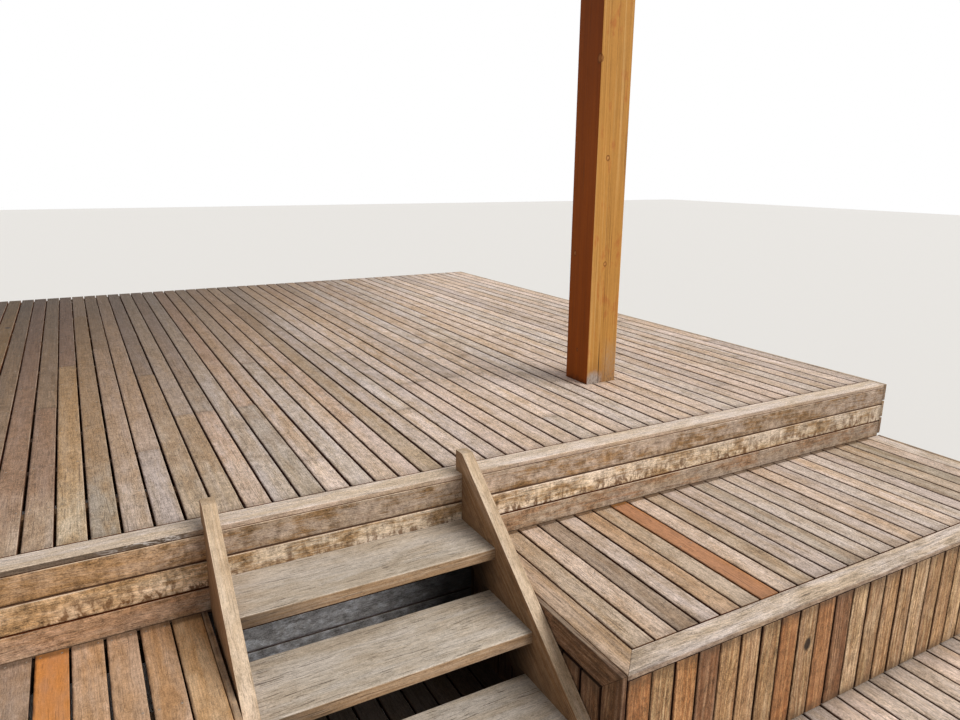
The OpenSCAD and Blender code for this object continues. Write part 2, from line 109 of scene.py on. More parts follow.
def solids(node):
    """The separate timbers of a CAD node, from left to right, each its own mesh with whole flat faces."""
    whole = bmesh.new()
    whole.from_mesh(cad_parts[node].data)
    bmesh.ops.remove_doubles(whole, verts=whole.verts, dist=2e-5)
    bmesh.ops.dissolve_limit(whole, angle_limit=math.radians(0.4), verts=whole.verts, edges=whole.edges)
    whole.verts.ensure_lookup_table()
    seen, found = set(), []
    for start in whole.verts:
        if start.index in seen:
            continue
        seen.add(start.index)
        group, todo = [], [start]
        while todo:
            v = todo.pop()
            group.append(v)
            for e in v.link_edges:
                other = e.other_vert(v)
                if other.index not in seen:
                    seen.add(other.index)
                    todo.append(other)
        timber = bmesh.new()
        twin = {v.index: timber.verts.new(v.co) for v in group}
        done = set()
        for v in group:
            for f in v.link_faces:
                if f.index not in done:
                    done.add(f.index)
                    timber.faces.new([twin[w.index] for w in f.verts])
        bmesh.ops.recalc_face_normals(timber, faces=timber.faces)
        low = [min(v.co[k] for v in group) for k in range(3)]
        found.append(([round(k, 3) for k in low] + [len(found)], timber))
    whole.free()
    found.sort(key=lambda f: f[0])
    return [f[1] for f in found]


def grain_axes(timber, along):
    """Three directions of a timber: along its grain, across its face, and through it."""
    if isinstance(along, Vector):
        return along, Vector((1, 0, 0)).cross(along), Vector((1, 0, 0))
    spans = [max(v.co[k] for v in timber.verts) - min(v.co[k] for v in timber.verts) for k in range(3)]
    order = sorted(range(3), key=lambda k: -spans[k])
    if along is not None:
        order = [along] + [k for k in order if k != along]
    unit = [Vector((1, 0, 0)), Vector((0, 1, 0)), Vector((0, 0, 1))]
    return tuple(unit[k] for k in order)


def lay_timber(piece, timber, rng, tone, along=None, ease=0.0008, play=0.0, shrink=(0.0, 0.0), knot=None,
               figure=0.0, wear=1.0, dark_sides=True):
    """Adds one timber to a piece. Its arrises are rounded over, and it is cut across at steps so that it
    can wander by its play from dead straight, each side shrunk in by an amount between the two given.
    Each point is marked with where it lay in the log that the timber was sawn from, how far it is from
    the timber's knot, how curly its figure is and how much wear shows."""
    a, b, c = grain_axes(timber, along)
    corners = [(v.co.dot(a), v.co.dot(b), v.co.dot(c)) for v in timber.verts]
    low = [min(p[k] for p in corners) for k in range(3)]
    length, width = (max(p[k] for p in corners) - low[k] for k in range(2))
    arris = math.radians(25)
    sharp = [e for e in timber.edges if e.is_manifold and e.is_convex and e.calc_face_angle() > arris]
    bmesh.ops.bevel(timber, geom=sharp, offset=ease, offset_type="OFFSET", segments=2, profile=0.5,
                    affect="EDGES", clamp_overlap=True)
    if play and length > STRAIGHT:
        cuts = max(2, round(length / CUT_STEP))
        for i in range(1, cuts):
            bmesh.ops.bisect_plane(timber, geom=timber.verts[:] + timber.edges[:] + timber.faces[:],
                                   dist=1e-6, plane_co=a * (low[0] + length * i / cuts), plane_no=a)
    start = len(piece["point"])
    offset = rng.uniform(0, 40)
    pith = rng.uniform(-0.07, 0.07), rng.uniform(0.02, 0.11)
    taper = rng.uniform(-0.03, 0.03)
    shift, bow = rng.uniform(-play, play), rng.uniform(-0.7, 0.7) * play
    skew, roll = rng.uniform(-0.5, 0.5) * play, rng.uniform(-0.25, 0.25) * play
    lost = rng.uniform(*shrink)
    shade = rng.uniform(0.95, 1.05)
    colours = [linear(code) for code in TONES[tone]]
    where = knot or (0.0, 0.0, 0.0)
    depth = 1.0 if offset % 1 < 0.65 else 0.72  # Some boards are less dark down in the gap.
    timber.verts.index_update()
    for v in timber.verts:
        x, y, z = v.co.dot(a) - low[0], v.co.dot(b) - low[1], v.co.dot(c) - low[2]
        side = 2 * y / width - 1
        sway = shift + bow * math.sin(math.pi * x / length) + skew * (x / length - 0.5) - side * lost
        piece["point"].append(v.co + b * sway + c * (roll * side))
        piece["log"].append((x + offset, y - width / 2 + pith[0], z + pith[1] + taper * x))
        piece["place"].append((x, length - x, side))
        piece["knot"].append((x - where[0], y - width / 2 - where[1], where[2]))
        kept, faded = colours
        piece["kept"].append((kept[0] * shade, kept[1] * shade, kept[2] * shade, figure))
        piece["faded"].append((faded[0] * shade, faded[1] * shade, faded[2] * shade, wear))
    for f in timber.faces:
        piece["face"].append([start + v.index for v in f.verts])
        edgeways = max(abs(f.normal.dot(b)), abs(f.normal.dot(a)))
        piece["gap side"].append(depth if dark_sides and edgeways > 0.95 else 0.0)
    timber.free()


def set_timber(name, piece, finish, material_slot, *nodes):
    """Makes a piece's object, with its marks as attributes, and lets it stand for its CAD nodes."""
    mesh = bpy.data.meshes.new(name)
    mesh.from_pydata([tuple(p) for p in piece["point"]], [], piece["face"])
    for key in ("log", "place", "knot", "kept", "faded"):
        entry = "color" if key in ("kept", "faded") else "vector"
        marks = mesh.attributes.new(key, "FLOAT_" + entry.upper(), "POINT")
        marks.data.foreach_set(entry, [x for row in piece[key] for x in row])
    marks = mesh.attributes.new("gap side", "FLOAT", "FACE")
    marks.data.foreach_set("value", piece["gap side"])
    mesh.polygons.foreach_set("use_smooth", [True] * len(mesh.polygons))
    mesh.set_sharp_from_angle(angle=math.radians(50))
    mesh.materials.append(finish)
    timber = bpy.data.objects.new(name, mesh)
    bpy.context.scene.collection.objects.link(timber)
    even = timber.modifiers.new("flat faces stay flat", "WEIGHTED_NORMAL")
    even.weight = 90
    even.keep_sharp = True
    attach(timber, "root")
    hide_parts(*nodes)


def dress(node, finish, material_slot, choose, **how):
    """Lays all timbers of one CAD node, with the tone and marks that choose gives for each."""
    rng = random.Random(sum(ord(c) * (i + 3) for i, c in enumerate(node)))
    piece = {key: [] for key in ("point", "face", "log", "place", "knot", "kept", "faded", "gap side")}
    for i, timber in enumerate(solids(node)):
        low = [min(v.co[k] for v in timber.verts) for k in range(3)]
        lay_timber(piece, timber, rng, **{**how, **choose(i, low, rng)})
    set_timber(node + "_timber", piece, finish, material_slot, node)


# The flight as built, in metres: rise, going, the deck's level, and the flight's middle, counted to the
# right from the deck's.
RISE, GOING, DECK_LEVEL, FLIGHT_X = 0.187, 0.253, 1.007, -0.467
# Directions in which finishes say where a timber is covered or shaded.
LEFT, RIGHT, FRONT, BACK, DOWN = (-1, 0, 0), (1, 0, 0), (0, -1, 0), (0, 1, 0), (0, 0, -1)
TO_SHELTER, BACK_LEFT, BACK_RIGHT, OFF_SLOPE = (-2, 1, 0), (-0.9, 1, 0), (1, 1, 0), (0, -0.610, 0.792)
# Growth rings of the plain grain and of a burl, in metres.
RING, BURL_RING = 0.006, 0.0085
# Patterns of the grain: length along it and width across it in millimetres, then noise detail. Real
# fibres and pores are finer than a millimetre; fibre and grit are drawn some four times as coarse, so
# that they still show.
GRAIN = {
    "drift": (900, 60, 2.0), "blotch": (170, 75, 3.0), "patch": (42, 17, 3.0), "streak": (460, 9, 3.0),
    "fibre": (110, 3.6, 3.0), "fleck": (18, 4, 2.0), "grit": (4.5, 3.2, 2.0), "pore": (12, 2.6, 0.0),
    "check": (260, 3.4, 1.0), "curl": (20, 44, 3.0), "cloud": (45, 38, 3.0),
}
# How fast and how far the grain wanders to the sides, in metres.
WANDER, WANDER_BY = Vector((1 / 0.34, 1 / 0.11, 1 / 0.11)), (0.0, 0.034, 0.034)


def bare_material(name):
    """A new material, and its node tree with nothing in it."""
    made = bpy.data.materials.new(name)
    made.use_nodes = True
    made.node_tree.nodes.clear()
    return made, made.node_tree


def seasoned_hardwood(name, contrast, fade=(0.55, 1.15), side_fade=0.0, covers=(), warmth=1.0, ring=0.10,
                      pores=0.5, checks=0.4, curl=0.0, dirt=0.4, edge_dirt_and_shade=0.65, both_edges=False,
                      soil="#4f3c2a", worn=0.3, gap=(0.22, 0.072, 0.018), mottle=0.0, steps=0.0,
                      patches=False, chipped=None, roughness=0.72, relief=0.6):
    """Sawn or dressed hardwood that was never coated and has stood outside for years. Its colour, its
    grain and its faults follow the log that each timber was cut from. Contrast gives how much each
    grain pattern lightens and darkens it. Each cover is a direction and two distances along it, between
    which the timber goes from open to covered, then how unevenly it does so, how much it keeps of its
    own brown there, how much painted shade darkens it (below nothing, painted light brightens it), and
    on which faces. Warmth is how far its hue varies."""
    made, tree = bare_material(name)
    log = add(tree, "Attribute", attribute_name="log").outputs["Vector"]
    in_log = add(tree, "SeparateXYZ", (log,))
    place = add(tree, "SeparateXYZ", (add(tree, "Attribute", attribute_name="place").outputs["Vector"],))
    knot = add(tree, "SeparateXYZ", (add(tree, "Attribute", attribute_name="knot").outputs["Vector"],))
    kept = add(tree, "Attribute", attribute_name="kept")
    faded = add(tree, "Attribute", attribute_name="faded")
    gap_side = add(tree, "Attribute", attribute_name="gap side").outputs["Fac"]
    spot = add(tree, "TexCoord").outputs["Object"]
    facing = add(tree, "SeparateXYZ", (add(tree, "NewGeometry").outputs["Normal"],))

    # The grain never runs dead straight: it wanders to the sides by some 8 mm.
    slow = add(tree, "TexNoise", {"Vector": add(tree, "VectorMath", (log, WANDER), operation="MULTIPLY"),
                                  "Scale": 1.0, "Detail": 1.0})
    aside = add(tree, "VectorMath", {0: WANDER_BY, "Scale": slow}, operation="SCALE")
    fibres = add(tree, "VectorMath", (log, aside), operation="ADD")
    grain = {}
    for key, (long_mm, wide_mm, detail) in GRAIN.items():
        stretched = add(tree, "VectorMath", (fibres, (1000 / long_mm, 1000 / wide_mm, 1000 / wide_mm)),
                        operation="MULTIPLY")
        grain[key] = add(tree, "TexNoise", {"Vector": stretched, "Scale": 1.0, "Detail": detail,
                                            "Roughness": 0.6,
                                            "Distortion": 0.3 if key in ("drift", "curl") else 0.0})

    # Distance from a knot or a burl.
    squeezed = add(tree, "CombineXYZ", (add(tree, "Math", (knot.outputs["X"], 0.70), operation="MULTIPLY"),
                                        knot.outputs["Y"]))
    from_knot = add(tree, "VectorMath", (squeezed,), operation="LENGTH").outputs["Value"]
    wavered = add(tree, "Math", (grain["cloud"], 0.012, from_knot), operation="MULTIPLY_ADD")
    swirled = add(tree, "Math", (grain["blotch"], 0.05, wavered), operation="MULTIPLY_ADD")
    is_knot = add(tree, "Math", (knot.outputs["Z"], KNOT, 0.1), operation="COMPARE")
    is_burl = add(tree, "Math", (knot.outputs["Z"], BURL, 0.1), operation="COMPARE")

    # Growth rings, 6 mm apart, cut as long arches because the log tapers; a knot pushes them aside.
    across_log = add(tree, "CombineXYZ", (in_log.outputs["Y"], in_log.outputs["Z"]))
    radius = add(tree, "VectorMath", (across_log,), operation="LENGTH").outputs["Value"]
    radius = add(tree, "Math", (grain["blotch"], 0.016, radius), operation="MULTIPLY_ADD")
    radius = add(tree, "Math", (grain["drift"], 0.030, radius), operation="MULTIPLY_ADD")
    pushed = add(tree, "MapRange", (from_knot, 0.0, 0.04, 0.018, 0.0), interpolation_type="SMOOTHSTEP")
    pushed = add(tree, "Math", (pushed, is_knot, radius), operation="MULTIPLY_ADD")
    rings = add(tree, "Math", (add(tree, "Math", (pushed, 2 * math.pi / RING), operation="MULTIPLY"),),
                operation="SINE")
    burl = add(tree, "Math", (add(tree, "Math", (swirled, 2 * math.pi / BURL_RING), operation="MULTIPLY"),),
               operation="SINE")
    near_burl = add(tree, "MapRange", (from_knot, 0.02, 0.12, 3.6, 0.0), interpolation_type="SMOOTHSTEP")
    in_part = add(tree, "MapRange", (grain["patch"], 0.44, 0.58), interpolation_type="SMOOTHSTEP")
    burl = add(tree, "Math", (burl, near_burl), operation="MULTIPLY")
    burl = add(tree, "Math", (burl, in_part), operation="MULTIPLY")
    clearer = add(tree, "MapRange", (grain["blotch"], 0.40, 0.62, 0.1, 1.9))
    rings = add(tree, "Math", (rings, clearer), operation="MULTIPLY")
    rings = add(tree, "Math", (burl, is_burl, rings), operation="MULTIPLY_ADD")

    # How light each point is, from all the patterns that this timber shows.
    light = add(tree, "Math", (rings, ring * 0.5, 1.0), operation="MULTIPLY_ADD")
    for key, strength in contrast.items():
        centred = add(tree, "Math", (grain[key], 0.5), operation="SUBTRACT")
        light = add(tree, "Math", (centred, strength, light), operation="MULTIPLY_ADD")
    if curl:
        rippled = add(tree, "MapRange", (grain["curl"], 0.35, 0.65, curl, -curl))
        light = add(tree, "Math", (rippled, kept.outputs["Alpha"], light), operation="MULTIPLY_ADD")

    # A newer board is smoother.
    light = add(tree, "Math", (light, 1.0), operation="SUBTRACT")
    light = add(tree, "Math", (light, faded.outputs["Alpha"], 1.0), operation="MULTIPLY_ADD")

    # Faces that look up fade most; upright ones keep their brown, but for pale streaks of wear.
    up = add(tree, "MapRange", (facing.outputs["Z"], 0.25, 0.85), interpolation_type="SMOOTHSTEP")
    uneven = add(tree, "Math", (grain["drift"], grain["blotch"]), operation="ADD")
    patchy = add(tree, "MapRange", (uneven, 0.76, 1.24, fade[0], fade[1]))
    weather = add(tree, "Math", (up, patchy), operation="MULTIPLY")
    streaky = add(tree, "MapRange", (grain["streak"], 0.42, 0.66, 0.0, side_fade))
    if patches:
        uneven = add(tree, "Math", (grain["blotch"], 1.3, grain["streak"]), operation="MULTIPLY_ADD")
        uneven = add(tree, "Math", (grain["cloud"], 0.7, uneven), operation="MULTIPLY_ADD")
        streaky = add(tree, "MapRange", (uneven, 1.30, 1.78, 0.0, side_fade))
    upright = add(tree, "Math", (1.0, up), operation="SUBTRACT")
    weather = add(tree, "Math", (upright, streaky, weather), operation="MULTIPLY_ADD")
    for direction, start, end, ragged, kept_share, painted_dimming, faces in covers:
        distance = add(tree, "VectorMath", (spot, direction), operation="DOT_PRODUCT").outputs["Value"]
        distance = add(tree, "Math", (grain["drift"], ragged, distance), operation="MULTIPLY_ADD")
        under = add(tree, "MapRange", (distance, start + ragged / 2, end + ragged / 2))
        if faces != "all":
            under = add(tree, "Math", (under, {"top": up, "side": upright}[faces]), operation="MULTIPLY")
        if kept_share:
            left = add(tree, "Math", (under, -kept_share, 1.0), operation="MULTIPLY_ADD")
            weather = add(tree, "Math", (weather, left), operation="MULTIPLY")
        # Painted shade: the covered part is darkened by this share; a share below nothing paints light.
        if painted_dimming:
            left = add(tree, "Math", (under, -painted_dimming, 1.0), operation="MULTIPLY_ADD")
            light = add(tree, "Math", (light, left), operation="MULTIPLY")
    colour = add(tree, "Mix", {0: weather, 6: kept.outputs["Color"], 7: faded.outputs["Color"]},
                 data_type="RGBA", clamp_factor=True)

    # No board is of one hue: its darker patches are warmer and its bleached ones greyer.
    greyness = add(tree, "Math", (grain["drift"], 1.5, grain["blotch"]), operation="MULTIPLY_ADD")
    greyness = add(tree, "Math", (grain["patch"], 0.5, greyness), operation="MULTIPLY_ADD")
    greyness = add(tree, "MapRange", (greyness, 1.26, 1.74))
    banded = add(tree, "Mix", {0: greyness, 6: (1 + 0.06 * warmth, 1 - 0.01 * warmth, 1 - 0.12 * warmth, 1),
                               7: (1 - 0.02 * warmth, 1 - 0.01 * warmth, 1 + 0.08 * warmth, 1)},
                 data_type="RGBA")
    colour = add(tree, "VectorMath", (colour, banded), operation="MULTIPLY")
    # Grey bloom in clouds, on timber that stays damp.
    if mottle:
        bloom = add(tree, "MapRange", (grain["cloud"], 0.46, 0.64, 0.0, mottle),
                    interpolation_type="SMOOTHSTEP")
        colour = add(tree, "Mix", {0: bloom, 6: colour, 7: linear("#cdd0d6")}, data_type="RGBA")
    # On a stringer's inner face, the part under each tread is darkened as painted shade.
    if steps:
        at = add(tree, "SeparateXYZ", (spot,))
        count = add(tree, "Math", (at.outputs["Z"], -1 / RISE, DECK_LEVEL / RISE), operation="MULTIPLY_ADD")
        count = add(tree, "Math", (count,), operation="FLOOR")
        behind = add(tree, "Math", (count, GOING, at.outputs["Y"]), operation="MULTIPLY_ADD")
        behind = add(tree, "MapRange", (behind, -1.62, -1.50, 0.0, steps))
        inward = add(tree, "Math", (at.outputs["X"], -FLIGHT_X), operation="ADD")
        inward = add(tree, "Math", (inward, facing.outputs["X"]), operation="MULTIPLY")
        inward = add(tree, "MapRange", (inward, -0.2, -0.4))
        left = add(tree, "Math", (behind, inward), operation="MULTIPLY")
        left = add(tree, "Math", (1.0, left), operation="SUBTRACT")
        light = add(tree, "Math", (light, left), operation="MULTIPLY")
    colour = add(tree, "VectorMath", {0: colour, "Scale": light}, operation="SCALE")

    # Each darker mark: where it is, how strong, and its colour.
    curly = add(tree, "MapRange", (grain["curl"], 0.48, 0.62), interpolation_type="SMOOTHSTEP")
    curly_low = add(tree, "MapRange", (place.outputs["Z"], -0.7, 0.55, 1.0, 0.12))
    curly_here = add(tree, "MapRange", (grain["blotch"], 0.36, 0.53), interpolation_type="SMOOTHSTEP")
    curly = add(tree, "Math", (curly, curly_low), operation="MULTIPLY")
    curly = add(tree, "Math", (curly, curly_here), operation="MULTIPLY")
    figured = add(tree, "MapRange", (kept.outputs["Alpha"], 0.5, 1.0))
    curly = add(tree, "Math", (curly, figured), operation="MULTIPLY")
    core = add(tree, "MapRange", (wavered, 0.030, 0.018), interpolation_type="SMOOTHSTEP")
    core = add(tree, "Math", (core, is_knot), operation="MULTIPLY")
    pore = add(tree, "MapRange", (grain["pore"], 0.60, 0.74), interpolation_type="SMOOTHSTEP")
    pore = add(tree, "Math", (pore, faded.outputs["Alpha"]), operation="MULTIPLY")
    split = add(tree, "MapRange", (grain["check"], 0.65, 0.68), interpolation_type="SMOOTHSTEP")
    to_end = add(tree, "Math", (place.outputs["X"], place.outputs["Y"]), operation="MINIMUM")
    at_end = add(tree, "MapRange", (to_end, 0.0, 0.05, 1.0, 0.0), interpolation_type="SMOOTHSTEP")
    ragged_patches = add(tree, "MapRange", (grain["cloud"], 0.33, 0.60, 0.25, 1.0))
    at_end = add(tree, "Math", (at_end, ragged_patches), operation="MULTIPLY")
    # Along one edge, or along both where both_edges is set, the timber darkens: dirt, and painted shade
    # beside the gaps.
    side = place.outputs["Z"]
    if both_edges:
        side = add(tree, "Math", (add(tree, "Math", (side,), operation="ABSOLUTE"), -1.0),
                   operation="MULTIPLY")
    at_edge = add(tree, "MapRange", (side, -0.80, -0.97), interpolation_type="SMOOTHSTEP")
    at_edge = add(tree, "Math", (at_edge, ragged_patches), operation="MULTIPLY")
    for where, strength, shade in ((curly, 0.85 if curl else 0.0, "#6a4420"), (core, 0.95, "#180c06"),
                                   (pore, pores, "#57402c"), (split, checks, "#33241a"),
                                   (at_end, dirt, soil), (at_edge, edge_dirt_and_shade, "#3c1e0a")):
        if strength:
            share = add(tree, "Math", (where, strength), operation="MULTIPLY")
            colour = add(tree, "Mix", {0: share, 6: colour, 7: linear(shade)}, data_type="RGBA")

    # One arris is paler, on one side only: partly worn, partly a painted highlight on the side that faces
    # the light.
    on_arris = add(tree, "MapRange", (place.outputs["Z"], 0.945, 0.98), interpolation_type="SMOOTHSTEP")
    pale_arris_wear_and_highlight = add(tree, "MapRange", (grain["streak"], 0.40, 0.60, 0.0, worn))
    share = add(tree, "Math", (on_arris, pale_arris_wear_and_highlight), operation="MULTIPLY")
    colour = add(tree, "Mix", {0: share, 6: colour, 7: linear("#d9c6ad")}, data_type="RGBA")

    # Where the edge has been knocked, its surface has come away in pale chips.
    if chipped:
        along_edge = add(tree, "SeparateXYZ", (spot,)).outputs["X"]
        here = add(tree, "MapRange", (along_edge, chipped[0], chipped[0] + 0.12))
        until = add(tree, "MapRange", (along_edge, chipped[1], chipped[1] - 0.04))
        chips = add(tree, "MapRange", (grain["patch"], 0.47, 0.55))
        flaky = add(tree, "MapRange", (grain["fleck"], 0.42, 0.54))
        for limit in (here, until, upright, flaky):
            chips = add(tree, "Math", (chips, limit), operation="MULTIPLY")
        colour = add(tree, "Mix", {0: chips, 6: colour, 7: linear("#c9c0b8")}, data_type="RGBA")

    # Sides down in the gaps: brown-black with old dirt, and darkened further as painted shade.
    gap_dirt_and_shade = add(tree, "Mix", {0: gap_side, 6: (1, 1, 1, 1), 7: (*gap, 1)}, data_type="RGBA")
    colour = add(tree, "VectorMath", (colour, gap_dirt_and_shade), operation="MULTIPLY")

    height = add(tree, "Math", (grain["fibre"], 0.6, 0.0), operation="MULTIPLY_ADD")
    height = add(tree, "Math", (grain["fleck"], 0.35, height), operation="MULTIPLY_ADD")
    height = add(tree, "Math", (split, -0.9, height), operation="MULTIPLY_ADD")
    ridges = add(tree, "Bump", {"Height": height, "Strength": relief, "Distance": 0.0012})
    sheen = add(tree, "MapRange", (grain["streak"], 0.3, 0.7, roughness + 0.08, roughness - 0.08))
    surface = add(tree, "BsdfPrincipled", {"Base Color": colour, "Roughness": sheen,
                                           "Specular IOR Level": 0.3, "Normal": ridges})
    add(tree, "OutputMaterial", {"Surface": surface})
    return made


def dulled_steel():
    """Stainless screw heads: satin metal gone dull, with brown dirt settled on it in spots."""
    made, tree = bare_material("dulled_stainless_steel")
    spots = add(tree, "TexNoise", {"Vector": add(tree, "TexCoord").outputs["Object"], "Scale": 700.0,
                                   "Detail": 2.0})
    dirty = add(tree, "MapRange", (spots, 0.40, 0.62))
    colour = add(tree, "Mix", {0: dirty, 6: linear("#b9b0a4"), 7: linear("#63513f")}, data_type="RGBA")
    satin = add(tree, "MapRange", {0: dirty, 3: 0.40, 4: 0.8})
    surface = add(tree, "BsdfPrincipled", {"Base Color": colour, "Roughness": satin, "Metallic": 0.8})
    add(tree, "OutputMaterial", {"Surface": surface})
    return made


# Uncoated merbau decking. Rain and sun bleach its front and right. Where it is covered it stays brown
# and carries painted shade, darker towards its rear; painted light lifts its right rear.
WEATHERED = dict(drift=0.50, blotch=0.70, patch=0.80, streak=0.60, fibre=0.80, fleck=1.25, grit=1.90,
                 cloud=0.30)
decking = seasoned_hardwood(
    "weathered_merbau_decking", WEATHERED, fade=(0.60, 1.40), warmth=0.7, worn=0.45, curl=0.30,
    pores=0.30, checks=0.42,
    covers=((TO_SHELTER, -1.3, 5.0, 1.6, 1.0, 0.645, "top"), (BACK_LEFT, 0.8, 3.6, 0.6, 0.2, 0.40, "top"),
            (BACK_RIGHT, 3.1, 4.6, 0.4, -0.5, -0.08, "top"), (TO_SHELTER, 5.55, 6.4, 0.3, 0.0, 0.42, "top"),
            (TO_SHELTER, 1.5, 1.75, 1.2, 0.40, 0.04, "top"), (FRONT, 0.95, 1.25, 0.25, -0.6, 0.0, "top")))
# Platform boards lie in the open: bleached all over, but for a narrow band of painted shade along the foot
# of the fascia.
low_decking = seasoned_hardwood(
    "bleached_merbau_decking", WEATHERED, fade=(0.55, 1.35), warmth=0.55, worn=0.45, curl=0.20,
    pores=0.35, checks=0.55, covers=((BACK, -1.6140, -1.6125, 0.001, 1.0, 0.55, "top"),))
# The lower deck runs in under the flight, where it stays browner and carries painted shade.
shaded_lower_decking = seasoned_hardwood(
    "merbau_decking_in_painted_shade", WEATHERED, fade=(0.8, 1.4), warmth=0.5, pores=0.35,
    covers=((BACK, -2.62, -2.42, 0.1, 0.5, 0.86, "all"),))
# Boards of the left platform, behind the flight's foot, are less worn and still brown.
# A narrow band along the foot of the fascia is browner and carries painted shade.
brown_decking = seasoned_hardwood(
    "brown_merbau_decking", {**WEATHERED, "drift": 0.30, "streak": 0.45, "fibre": 0.55, "fleck": 0.75,
                             "grit": 1.2},
    fade=(0.0, 0.75), curl=0.25, pores=0.25, checks=0.25, edge_dirt_and_shade=0.7, worn=0.1,
    gap=(0.065, 0.024, 0.008), covers=((BACK, -1.625, -1.611, 0.01, 0.5, 0.5, "top"),))
# Borders take most wear and sun: pale and silver-streaked on top.
SILVERED = dict(drift=0.35, blotch=0.40, patch=0.50, streak=0.80, fibre=0.85, fleck=0.80, grit=1.60)
# Painted shade darkens the top towards the left, where it also stays browner. Its front face is much darker
# left of the flight; painted light lifts the front face but for its right end.
border_wood = seasoned_hardwood(
    "silvered_merbau_border", SILVERED, fade=(0.8, 1.1), warmth=0.8, ring=0.06, worn=0.5, dirt=0.25,
    edge_dirt_and_shade=0.1, pores=0.35, gap=(0.9, 0.9, 0.9), chipped=(-1.28, -0.99),
    covers=((LEFT, -0.2, 2.6, 0.5, 0.15, 0.32, "top"), (LEFT, -2.3, -1.5, 0.3, 0.0, -0.15, "side"),
            (LEFT, 0.93, 1.02, 0.1, 0.0, 0.72, "side")))
# The platform's border is greyest at its open corner.
# Painted shade darkens its top, most near the flight.
corner_wood = seasoned_hardwood(
    "silvered_merbau_corner", {**SILVERED, "streak": 1.8, "blotch": 0.9, "fleck": 1.0}, fade=(0.6, 1.15),
    warmth=0.9, ring=0.08, worn=0.5, dirt=0.35, edge_dirt_and_shade=0.5, pores=0.3, checks=0.6, gap=(0.8, 0.8, 0.8),
    covers=((LEFT, -0.9, -0.2, 0.5, 0.0, 0.18, "top"), (RIGHT, -0.9, -0.2, 0.5, 0.0, 0.06, "top")))
# Upright fascia boards: golden brown where rain runs down them, with dark curly figure. They stay
# browner at the left end. Painted shade darkens them behind the flight, towards their right end and in
# a band along the foot; painted light lifts them on either side of the flight.
WASHED = dict(drift=0.60, blotch=1.1, patch=1.2, streak=0.30, fibre=0.45, fleck=1.20, grit=1.60, cloud=1.2)
fascia_wood = seasoned_hardwood(
    "rain_washed_merbau_fascia", WASHED, side_fade=1.8, patches=True, warmth=0.7, curl=0.22, ring=0.08,
    worn=0.7, dirt=0.5, edge_dirt_and_shade=0.6, gap=(0.32, 0.10, 0.02),
    covers=((LEFT, 0.85, 1.15, 0.3, 0.75, 0.0, "all"), (RIGHT, -0.95, -0.90, 0.0, 0.0, 0.22, "side"),
            (LEFT, 0.90, 0.95, 0.0, 0.0, -0.08, "side"), (RIGHT, -0.05, 0.0, 0.0, 0.0, -0.26, "side"),
            (RIGHT, 0.6, 2.0, 0.3, 0.0, 0.24, "side"), (DOWN, -0.7150, -0.7140, 0.0005, 1.0, 0.70, "side")))
low_fascia_wood = seasoned_hardwood(
    "rain_washed_low_fascia", WASHED, side_fade=1.8, patches=True, warmth=0.7, curl=0.10, ring=0.08,
    worn=0.6, dirt=0.5, edge_dirt_and_shade=0.6)
# Upright skirt boards, each of its own brown, with paler streaks, darker along both edges with dirt and
# painted shade.
skirt_wood = seasoned_hardwood(
    "merbau_skirt_boards",
    dict(drift=0.65, blotch=0.95, patch=1.3, streak=0.75, fibre=0.70, fleck=1.40, grit=2.00, cloud=0.9),
    side_fade=1.0, ring=0.08, worn=0.25, dirt=0.8, edge_dirt_and_shade=0.75, both_edges=True,
    gap=(0.15, 0.055, 0.015))
# Boards behind the open flight: always damp and shaded, a slate grey painted pale as light that makes up
# for the deep shade there, with a pale bloom. Painted shadow darkens their right part almost to black, and
# their left end beside the stringer.
shade_wood = seasoned_hardwood(
    "damp_grey_merbau_in_painted_shade",
    dict(drift=0.40, streak=0.40, fibre=0.40, patch=1.4, fleck=1.4, grit=1.6, cloud=1.2),
    warmth=0.3, ring=0.04, mottle=0.5, dirt=0.5, soil="#26221f", worn=0.15, pores=0.2,
    covers=((RIGHT, -0.42, -0.10, 0.15, 0.0, 0.92, "all"), (LEFT, 0.91, 0.925, 0.0, 0.0, 0.9, "all")))
# Thick kwila treads: fine straight grain raised by rain, scuffed grey on top and brown on the nosing,
# which is darkest at its left end. Painted light lifts the top towards the right end.
tread_wood = seasoned_hardwood(
    "rain_raised_kwila_treads",
    dict(drift=0.25, blotch=0.45, patch=0.60, streak=0.60, fibre=0.85, fleck=0.50, grit=0.90),
    fade=(0.8, 1.1), side_fade=0.3, warmth=0.4, ring=0.03, pores=0.3, checks=0.7, dirt=0.5, edge_dirt_and_shade=0.0,
    worn=0.1, relief=0.8,
    covers=((LEFT, 0.60, 0.88, 0.2, 0.0, 0.66, "side"), (RIGHT, -0.40, -0.05, 0.1, 0.0, -0.13, "top")))
# Stringers: pale dry top edges, and brown faces, browner and darker lower down, with painted shade on
# the inner face under each tread.
stringer_wood = seasoned_hardwood(
    "sawn_kwila_stringers",
    dict(drift=0.30, blotch=0.60, patch=0.60, streak=0.35, fibre=0.50, fleck=0.50, grit=0.90, cloud=0.70),
    fade=(0.7, 1.2), side_fade=0.35, warmth=0.6, ring=0.03, pores=0.3, checks=0.35, dirt=0.3, edge_dirt_and_shade=0.2,
    worn=0.2, steps=0.76, covers=((OFF_SLOPE, 1.83, 1.70, 0.16, 0.5, 0.22, "side"),))
# Framing under the boards: rough sawn, dark with damp and dust, and darkened further as painted shade.
framing_wood = seasoned_hardwood(
    "rough_sawn_framing", dict(drift=0.4, streak=0.6, fibre=0.6, fleck=0.6, cloud=0.3), fade=(0.1, 0.4),
    ring=0.12, gap=(0.9, 0.9, 0.9), dirt=0.2, edge_dirt_and_shade=0.0, worn=0.0, roughness=0.8, relief=0.9)


